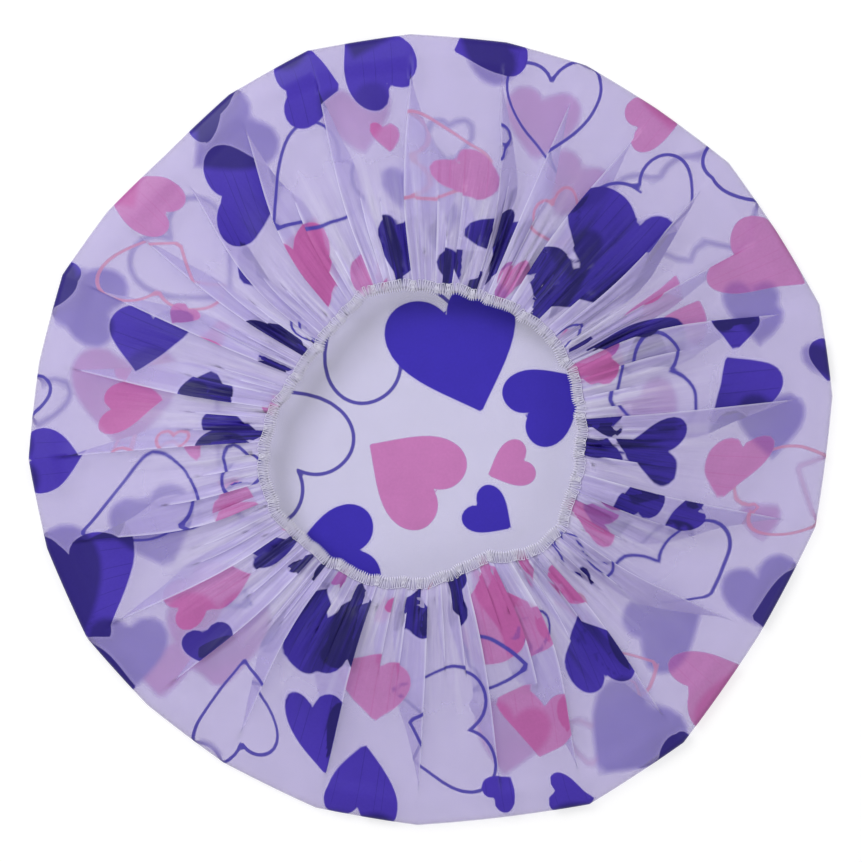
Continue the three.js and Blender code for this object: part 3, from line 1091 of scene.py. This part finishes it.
softness = attribute("softness")
solids = {}
lines = {}
beneath = {}
for ink in ("blue", "pink"):
    solids[ink] = inked(attribute(ink + "_solid"), softness)
    line_edge = calculate("SUBTRACT", calculate("ABSOLUTE", attribute(ink + "_line")), LINE_HALF_WIDTH)
    lines[ink] = inked(line_edge, softness)
    folded_ink = inked(attribute(ink + "_fold"), calculate("MULTIPLY", softness, FOLD_BLUR_SHARE))
    crown_ink = calculate("MULTIPLY", inked(attribute(ink + "_crown"), CROWN_SHADOW_BLUR), CROWN_SHADOW_SHARE)
    beneath[ink] = calculate("MAXIMUM", folded_ink, crown_ink)

# %% [markdown]
# The gathers pull the film into soft ridges that run to the mouth. They are finer than the pleats of the
# mesh, so the material makes them: noise that is stretched along the rays, because it is read at the
# direction from the middle and only a little at the distance. Besides a bump, the noise gives them painted
# highlights and painted shade in the colour. They grow towards the rim with the haze, and the bare crown
# has none.

# %% Soft ridges, crumples and creases
ALONG_RAY = 0.9
FINE_RIDGES = 58.0
BROAD_RIDGES = 17.0
CREST_WIDTH = 0.9
SHADE_WIDTH = 3.2
MOTTLE_GRAINS = 60.0
MOTTLE_SHARE = 0.14
INK_GRAINS = 470.0
INK_GRAIN_SHARE = 0.16
CRUMPLE_GRAINS = 55.0
CRUMPLE_SHADE_SHARE = 0.10
FINE_HIGHLIGHT_SHARES = (0.50, 0.72)
FINE_SHADE_SHARES = (0.50, 0.32)
BROAD_HIGHLIGHT_SHARES = (0.48, 0.68)
BROAD_SHADE_SHARES = (0.52, 0.34)

flat_coordinates = tree.nodes.new("ShaderNodeUVMap")
flat_coordinates.uv_map = "flat_sheet"
object_coordinates = tree.nodes.new("ShaderNodeTexCoord").outputs["Object"]
across_table = tree.nodes.new("ShaderNodeVectorMath")
across_table.operation = "MULTIPLY"
across_table.inputs[1].default_value = (1, 1, 0)
tree.links.new(object_coordinates, across_table.inputs[0])
ray = tree.nodes.new("ShaderNodeVectorMath")
ray.operation = "NORMALIZE"
tree.links.new(across_table.outputs[0], ray.inputs[0])
ray_place = tree.nodes.new("ShaderNodeVectorMath")
ray_place.operation = "MULTIPLY_ADD"
tree.links.new(across_table.outputs[0], ray_place.inputs[0])
ray_place.inputs[1].default_value = (ALONG_RAY, ALONG_RAY, 0)
tree.links.new(ray.outputs[0], ray_place.inputs[2])
fine_ridges = variation(ray_place.outputs[0], FINE_RIDGES, 1.0)["Height"]
broad_ridges = variation(ray_place.outputs[0], BROAD_RIDGES, 1.0)["Height"]
mottle = variation(flat_coordinates.outputs["UV"], MOTTLE_GRAINS, MOTTLE_SHARE)
ink_grain = variation(flat_coordinates.outputs["UV"], INK_GRAINS, INK_GRAIN_SHARE)
crumple = variation(object_coordinates, CRUMPLE_GRAINS, CRUMPLE_SHADE_SHARE)

haze = attribute("haze")
# Masks for painted light: a line along each crest, painted shade just ahead of a covering crest, and painted
# highlights and painted shade on the fine ridges and broad swells.
crest = inked(attribute("crest_gap"), CREST_WIDTH)
shade_by_crest = inked(attribute("shade_gap"), SHADE_WIDTH)
ridge_highlight = calculate("MULTIPLY", rising(fine_ridges, *FINE_HIGHLIGHT_SHARES), rising(haze, 0.35, 1.0))
ridge_shade = calculate("MULTIPLY", rising(fine_ridges, *FINE_SHADE_SHARES), rising(haze, 0.4, 1.0))
broad_highlight = rising(broad_ridges, *BROAD_HIGHLIGHT_SHARES)
broad_shade = calculate("MULTIPLY", rising(broad_ridges, *BROAD_SHADE_SHARES), rising(haze, 0.0, 0.7))

# %% Colours of the clear film
MOUTH_FILM = (0.40, 0.36, 0.67, 1)
OUTER_FILM = (0.48, 0.41, 0.73, 1)
RIM_FILM = (0.54, 0.48, 0.77, 1)
# The near-white film colour below is painted highlight, and the shady film colour is painted shade.
HIGHLIGHT_FILM = (0.86, 0.85, 0.96, 1)
SHADY_FILM = (0.33, 0.28, 0.58, 1)
BAND_FILM = (0.76, 0.74, 0.90, 1)
HALO_FILM = (0.60, 0.52, 1.0, 1)
HALO_REACH = 1.7
HALO_SHARE = 0.70

outside_mouth = attribute("outside_mouth")
halo = inked(attribute("blue_solid"), HALO_REACH)
clear = mix_colour(outside_mouth, MOUTH_FILM, mix_colour(haze, OUTER_FILM, RIM_FILM))
# Painted shade just ahead of each covering crest and in the ridges, painted highlights on the ridges and
# broad swells. At a crest the doubled film is whiter, with a painted highlight on it.
clear = layered(clear, [
    (shade_by_crest, 0.34, SHADY_FILM),
    (ridge_shade, 0.25, SHADY_FILM),
    (calculate("MULTIPLY", broad_highlight, haze), 0.40, HIGHLIGHT_FILM),
    (ridge_highlight, 0.35, HIGHLIGHT_FILM),
    (crest, 1.0, HIGHLIGHT_FILM),
    (halo, HALO_SHARE, HALO_FILM),
])

# %% Colours of the inks
BLUE_INK = (0.040, 0.020, 0.45, 1)
OUTER_BLUE_INK = (0.060, 0.030, 0.43, 1)
RIM_BLUE_INK = (0.024, 0.012, 0.25, 1)
# The deep inks are the colour of ink over other ink, and also serve as painted shade in the ridges.
DEEP_AND_SHADED_BLUE_INK = (0.005, 0.002, 0.085, 1)
BLUE_LINE_INK = (0.072, 0.055, 0.40, 1)
PINK_INK = (0.59, 0.185, 0.50, 1)
OUTER_PINK_INK = (0.53, 0.205, 0.50, 1)
DEEP_AND_SHADED_PINK_INK = (0.51, 0.12, 0.39, 1)
PINK_LINE_INK = (0.58, 0.27, 0.47, 1)
PURPLE_INK = (0.22, 0.07, 0.38, 1)
PINK_BENEATH_SHARE = 0.5

pink_beneath = calculate("MULTIPLY", beneath["pink"], PINK_BENEATH_SHARE)
any_beneath = calculate("MAXIMUM", beneath["blue"], pink_beneath)
blue_ink = mix_colour(outside_mouth, BLUE_INK, mix_colour(haze, OUTER_BLUE_INK, RIM_BLUE_INK))
# Ink over other ink is deeper; painted shade in the ridges and swells, and a painted highlight on the ridges.
blue_ink = layered(blue_ink, [
    (any_beneath, 0.85, DEEP_AND_SHADED_BLUE_INK),
    (ridge_shade, 0.90, DEEP_AND_SHADED_BLUE_INK),
    (broad_shade, 0.65, DEEP_AND_SHADED_BLUE_INK),
    (ridge_highlight, 0.30, OUTER_BLUE_INK),
])
# Pink ink over other ink is deeper; painted shade in the ridges.
pink_ink = layered(mix_colour(outside_mouth, PINK_INK, OUTER_PINK_INK), [
    (beneath["pink"], 1.0, DEEP_AND_SHADED_PINK_INK),
    (ridge_shade, 0.55, DEEP_AND_SHADED_PINK_INK),
    (beneath["blue"], 0.60, PURPLE_INK),
])

# %% The film's colour with its print
BAND_SHARE = 0.62

sewn_band = attribute("sewn_band")
colour = layered(clear, [
    (lines["pink"], 1.0, PINK_LINE_INK),
    (solids["pink"], 1.0, pink_ink),
    (lines["blue"], 1.0, BLUE_LINE_INK),
    (solids["blue"], 1.0, blue_ink),
    (sewn_band, BAND_SHARE, BAND_FILM),
])
shaded = tree.nodes.new("ShaderNodeVectorMath")
shaded.operation = "SCALE"
tree.links.new(colour, shaded.inputs[0])
any_ink = calculate("MAXIMUM", solids["blue"], solids["pink"])
grain = calculate("MULTIPLY_ADD", any_ink, calculate("SUBTRACT", ink_grain["Factor"], 1.0), 1.0)
# The mottle is the film's own uneven tone; the crumples' share is painted shade.
mottle_and_crumple_shade = calculate("MULTIPLY", mottle["Factor"], crumple["Factor"])
tree.links.new(calculate("MULTIPLY", mottle_and_crumple_shade, grain), shaded.inputs["Scale"])
tree.links.new(shaded.outputs[0], shader.inputs["Base Color"])

# %% How much passes through
MOUTH_ALPHA = 0.36
OUTER_ALPHA = 0.30
HAZE_ALPHA = 0.18
CREST_ALPHA = 0.30
BAND_ALPHA = 0.25
HALO_ALPHA = 0.15
BLUE_ALPHA = 0.94
PINK_ALPHA = 0.80
BLUE_LINE_ALPHA = 0.84
PINK_LINE_ALPHA = 0.66
SHADOW_PASS_SHARE = 0.8
FILM_ROUGHNESS = 0.42
FILM_SPECULAR = 0.26

alpha = calculate("MULTIPLY_ADD", outside_mouth, OUTER_ALPHA - MOUTH_ALPHA, MOUTH_ALPHA)
alpha = calculate("MULTIPLY_ADD", haze, HAZE_ALPHA, alpha)
alpha = calculate("MULTIPLY_ADD", crest, CREST_ALPHA, alpha)
alpha = calculate("MULTIPLY_ADD", sewn_band, BAND_ALPHA, alpha)
alpha = calculate("MULTIPLY_ADD", halo, HALO_ALPHA, alpha)
for part, part_alpha in ((lines["pink"], PINK_LINE_ALPHA), (solids["pink"], PINK_ALPHA),
                         (lines["blue"], BLUE_LINE_ALPHA), (solids["blue"], BLUE_ALPHA)):
    alpha = calculate("MULTIPLY_ADD", part, calculate("SUBTRACT", part_alpha, alpha), alpha)
light_path = tree.nodes.new("ShaderNodeLightPath")
passing = calculate("MULTIPLY_ADD", light_path.outputs["Is Shadow Ray"], -SHADOW_PASS_SHARE, 1.0)
tree.links.new(calculate("MULTIPLY", alpha, passing), shader.inputs["Alpha"])
shader.inputs["Roughness"].default_value = FILM_ROUGHNESS
shader.inputs["Specular IOR Level"].default_value = FILM_SPECULAR

# %% Relief of the ridges
RIDGE_RELIEF = 0.9 * MM
RELIEF_STRENGTH = 0.6
CRUMPLE_SHARE = 0.35

relief = tree.nodes.new("ShaderNodeBump")
relief.inputs["Strength"].default_value = RELIEF_STRENGTH
relief.inputs["Distance"].default_value = RIDGE_RELIEF
ridge_height = calculate("MULTIPLY", calculate("ADD", fine_ridges, broad_ridges), haze)
height = calculate("MULTIPLY_ADD", crumple["Height"], CRUMPLE_SHARE, ridge_height)
tree.links.new(height, relief.inputs["Height"])
tree.links.new(relief.outputs["Normal"], shader.inputs["Normal"])
film_mesh.materials.append(film_material)

# %% Give the film its wall
FILM_WALL = 0.2

wall = printed_film.modifiers.new("wall", "SOLIDIFY")
wall.thickness = FILM_WALL * MM
wall.offset = 0.0

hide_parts("crown_film", "gathered_film")
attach(printed_film, "root")

# %% [markdown]
# ## The elastic
# The elastic lies just under the film's edge. It is a narrow white tape whose rubber cords show as fine ribs
# along its length. Its section is a rounded oblong with those ribs on it, carried once round the rim's curve.

# %% Elastic ring
ELASTIC_INSET = 1.2
ELASTIC_WIDTH = 3.2
ELASTIC_THICKNESS = 1.4
ELASTIC_HEIGHT = 11.6
ELASTIC_RIBS = 4
RIB_RELIEF = 0.10
CORNER_POWER = 0.45
SECTION_POINTS = 44
RING_STEPS = 400

section_angle = TURN * np.arange(SECTION_POINTS) / SECTION_POINTS
cosine, sine = np.cos(section_angle), np.sin(section_angle)
across = np.sign(cosine) * np.abs(cosine) ** CORNER_POWER * ELASTIC_WIDTH / 2
flatness = np.sign(sine) * np.abs(sine) ** CORNER_POWER
rib = RIB_RELIEF * np.cos(TURN * ELASTIC_RIBS * across / ELASTIC_WIDTH) - RIB_RELIEF
upward = flatness * (ELASTIC_THICKNESS / 2 + rib)

ring_bearing = TURN * np.arange(RING_STEPS) / RING_STEPS
reach = rim_radius(ring_bearing)[:, None] + ELASTIC_INSET + ELASTIC_WIDTH / 2 + across
elastic_points = np.stack([reach * np.cos(ring_bearing)[:, None], reach * np.sin(ring_bearing)[:, None],
                           np.broadcast_to(ELASTIC_HEIGHT + upward, reach.shape)], axis=2).reshape(-1, 3)
elastic_faces = []
for i in range(RING_STEPS):
    here, there = i * SECTION_POINTS, (i + 1) % RING_STEPS * SECTION_POINTS
    for j in range(SECTION_POINTS):
        k = (j + 1) % SECTION_POINTS
        elastic_faces.append((here + j, there + j, there + k, here + k))
elastic_ring = smooth_piece("elastic_ring", elastic_points, elastic_faces)
print("elastic from", elastic_points[:, 2].min().round(2), "to", elastic_points[:, 2].max().round(2), "mm up")


# %% Finish of elastic and thread
def spun_finish(name, colour, roughness, per_metre, amount, relief_depth):
    """A matt white finish whose shade and relief vary finely from place to place."""
    global tree
    material, tree, shader = start_material(name)
    place = tree.nodes.new("ShaderNodeTexCoord").outputs["Object"]
    fibres = variation(place, per_metre, amount)
    tinted = tree.nodes.new("ShaderNodeVectorMath")
    tinted.operation = "SCALE"
    tinted.inputs[0].default_value = colour
    tree.links.new(fibres["Factor"], tinted.inputs["Scale"])
    tree.links.new(tinted.outputs[0], shader.inputs["Base Color"])
    bump = tree.nodes.new("ShaderNodeBump")
    bump.inputs["Distance"].default_value = relief_depth * MM
    tree.links.new(fibres["Height"], bump.inputs["Height"])
    tree.links.new(bump.outputs["Normal"], shader.inputs["Normal"])
    shader.inputs["Roughness"].default_value = roughness
    return material


elastic_finish = spun_finish("white_elastic", colour=(0.72, 0.70, 0.84), roughness=0.8, per_metre=1400.0,
                             amount=0.25, relief_depth=0.10)
thread_finish = spun_finish("white_thread", colour=(0.74, 0.72, 0.86), roughness=0.65, per_metre=2600.0,
                            amount=0.25, relief_depth=0.05)
elastic_ring.data.materials.append(elastic_finish)

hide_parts("elastic_band")
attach(elastic_ring, "root")

# %% [markdown]
# ## The overlock seam
# Three threads sew the film to the elastic. The needle thread runs in short straight stitches. The upper
# looper thread zigzags over the top, from the needle's line to the film's cut edge and back, and the lower
# one does the same underneath. The same stitch repeats some four hundred times along a path, so one Geometry
# Nodes tree makes all three threads: it builds a stitch of two mirrored legs, puts it on evenly spaced points
# of the rim's curve, and turns it to the path. Each stitch also leans a little at random, as sewn ones do.


# %% Sockets of the seam's tree
SEAM_INPUTS = [("Stitches", "Int"), ("Thread Radius", "Float"), ("Start", "Vector"), ("Bend", "Vector"),
               ("End", "Vector"), ("Start Spread", "Float"), ("Bend Spread", "Float"),
               ("End Spread", "Float"), ("Lean", "Float"), ("Finish", "Material")]

seam_tree = bpy.data.node_groups.new("overlock_stitches", "GeometryNodeTree")
seam_tree.interface.new_socket("Geometry", in_out="INPUT", socket_type="NodeSocketGeometry")
for name, kind in SEAM_INPUTS:
    seam_tree.interface.new_socket(name, in_out="INPUT", socket_type="NodeSocket" + kind)
seam_tree.interface.new_socket("Geometry", in_out="OUTPUT", socket_type="NodeSocketGeometry")
seam_input = seam_tree.nodes.new("NodeGroupInput")
seam_output = seam_tree.nodes.new("NodeGroupOutput")


def seam_node(kind, settings=None, **inputs):
    """A node of the seam's tree; a keyword links or sets the input of that name, with _ for each space."""
    node = seam_tree.nodes.new(kind)
    for setting, value in (settings or {}).items():
        setattr(node, setting, value)
    for name, value in inputs.items():
        socket = node.inputs[name.replace("_", " ")]
        if isinstance(value, (int, float, tuple, bool)):
            socket.default_value = value
        else:
            seam_tree.links.new(value, socket)
    return node


def seam_math(operation, *values):
    """One step of arithmetic in the seam's tree."""
    node = seam_node("ShaderNodeMath", {"operation": operation})
    for socket, value in zip(node.inputs, values):
        if isinstance(value, (int, float)):
            socket.default_value = value
        else:
            seam_tree.links.new(value, socket)
    return node.outputs[0]


# %% One stitch
LEG_STEPS = 5
THREAD_SIDES = 5

path_length = seam_node("GeometryNodeCurveLength", Curve=seam_input.outputs["Geometry"]).outputs["Length"]
half_pitch = seam_math("MULTIPLY", seam_math("DIVIDE", path_length, seam_input.outputs["Stitches"]), 0.5)
round_section = seam_node("GeometryNodeCurvePrimitiveCircle", Resolution=THREAD_SIDES,
                          Radius=seam_input.outputs["Thread Radius"]).outputs["Curve"]
legs = seam_node("GeometryNodeJoinGeometry")
for side in (-1, 1):
    stops = {}
    for stop in ("Start", "Bend", "End"):
        spread = seam_math("MULTIPLY", half_pitch, seam_input.outputs[stop + " Spread"])
        sideways = seam_math("MULTIPLY", spread, side)
        shift = seam_node("ShaderNodeCombineXYZ", Y=sideways)
        moved = seam_node("ShaderNodeVectorMath", {"operation": "ADD"})
        seam_tree.links.new(seam_input.outputs[stop], moved.inputs[0])
        seam_tree.links.new(shift.outputs[0], moved.inputs[1])
        stops[stop] = moved.outputs[0]
    leg = seam_node("GeometryNodeCurveQuadraticBezier", Resolution=LEG_STEPS, Start=stops["Start"],
                    Middle=stops["Bend"], End=stops["End"])
    tube = seam_node("GeometryNodeCurveToMesh", Curve=leg.outputs[0], Profile_Curve=round_section,
                     Fill_Caps=True)
    seam_tree.links.new(tube.outputs[0], legs.inputs[0])

# %% Stitches along the path
RANDOM_SEED = 21

spots = seam_node("GeometryNodeCurveToPoints", {"mode": "COUNT"}, Curve=seam_input.outputs["Geometry"],
                  Count=seam_input.outputs["Stitches"])
along_path = seam_node("FunctionNodeAlignRotationToVector", {"axis": "Y", "pivot_axis": "Z"},
                       Vector=spots.outputs["Tangent"])
least_lean = seam_math("MULTIPLY", seam_input.outputs["Lean"], -1.0)
random_lean = seam_node("FunctionNodeRandomValue", {"data_type": "FLOAT"}, Seed=RANDOM_SEED)
seam_tree.links.new(least_lean, random_lean.inputs[2])
seam_tree.links.new(seam_input.outputs["Lean"], random_lean.inputs[3])
lean_angles = seam_node("ShaderNodeCombineXYZ", Z=random_lean.outputs[1])
lean = seam_node("FunctionNodeEulerToRotation", Euler=lean_angles.outputs[0])
turned = seam_node("FunctionNodeRotateRotation", {"rotation_space": "LOCAL"}, Rotation=along_path.outputs[0],
                   Rotate_By=lean.outputs[0])
sewn = seam_node("GeometryNodeInstanceOnPoints", Points=spots.outputs["Points"], Instance=legs.outputs[0],
                 Rotation=turned.outputs[0])
real = seam_node("GeometryNodeRealizeInstances", Geometry=sewn.outputs[0])
smoothed = seam_node("GeometryNodeSetShadeSmooth", Geometry=real.outputs[0])
finished = seam_node("GeometryNodeSetMaterial", Geometry=smoothed.outputs[0],
                     Material=seam_input.outputs["Finish"])
seam_tree.links.new(finished.outputs[0], seam_output.inputs[0])
print("nodes in the seam's tree:", len(seam_tree.nodes))

# %% [markdown]
# The path is a closed curve along the film's edge that runs anticlockwise, so a stitch's X points away from
# the mouth and its Z points up. Each stop of a stitch is given as inset from the edge and height above the
# table.

# %% Sew the three threads
STITCHES = 410
THREAD_RADIUS = 0.125
LEAN_DEG = 3.0
PATH_STEPS = 400

# thread: start, bend and end as (inset, height) in mm, and their spreads as shares of half the pitch
THREADS = {
    "needle": ((4.1, 13.4), (4.1, 13.85), (4.1, 13.5), (0.82, 0.6, 0.0)),
    "upper_looper": ((0.15, 12.6), (0.4, 14.1), (4.1, 13.4), (0.0, 0.25, 1.0)),
    "lower_looper": ((0.15, 12.6), (0.4, 9.5), (4.1, 10.65), (0.0, 0.25, 1.0)),
}


def rim_path():
    """The closed curve of the film's edge, at the table's height."""
    data = bpy.data.curves.new("rim_path", "CURVE")
    data.dimensions = "3D"
    bearing = TURN * np.arange(PATH_STEPS) / PATH_STEPS
    reach = rim_radius(bearing) * MM
    spline = data.splines.new("POLY")
    spline.points.add(PATH_STEPS - 1)
    for point, x, y in zip(spline.points, reach * np.cos(bearing), reach * np.sin(bearing)):
        point.co = (x, y, 0, 1)
    spline.use_cyclic_u = True
    path = bpy.data.objects.new("rim_path", data)
    bpy.context.collection.objects.link(path)
    return path


def sew(name, start, bend, end, spreads):
    """One thread of the seam as a plain mesh object."""
    path = rim_path()
    modifier = path.modifiers.new("stitches", "NODES")
    modifier.node_group = seam_tree
    values = {"Stitches": STITCHES, "Thread Radius": THREAD_RADIUS * MM, "Lean": math.radians(LEAN_DEG),
              "Finish": thread_finish}
    for stop, (inset, height), spread in zip(("Start", "Bend", "End"), (start, bend, end), spreads):
        values[stop] = (inset * MM, 0.0, height * MM)
        values[stop + " Spread"] = spread
    for socket in seam_tree.interface.items_tree:
        if socket.in_out == "INPUT" and socket.name in values:
            modifier[socket.identifier] = values[socket.name]
    graph = bpy.context.evaluated_depsgraph_get()
    mesh = bpy.data.meshes.new_from_object(path.evaluated_get(graph), depsgraph=graph)
    bpy.data.objects.remove(path)
    mesh.name = name
    thread = bpy.data.objects.new(name, mesh)
    bpy.context.collection.objects.link(thread)
    heights = [vertex.co.z / MM for vertex in mesh.vertices]
    low, high = round(min(heights), 2), round(max(heights), 2)
    print(name, "faces:", len(mesh.polygons), "height:", low, "to", high, "mm")
    return thread


for thread_name, stops in THREADS.items():
    stitches = sew(thread_name + "_stitches", *stops)
    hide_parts(thread_name + "_thread")
    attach(stitches, "root")
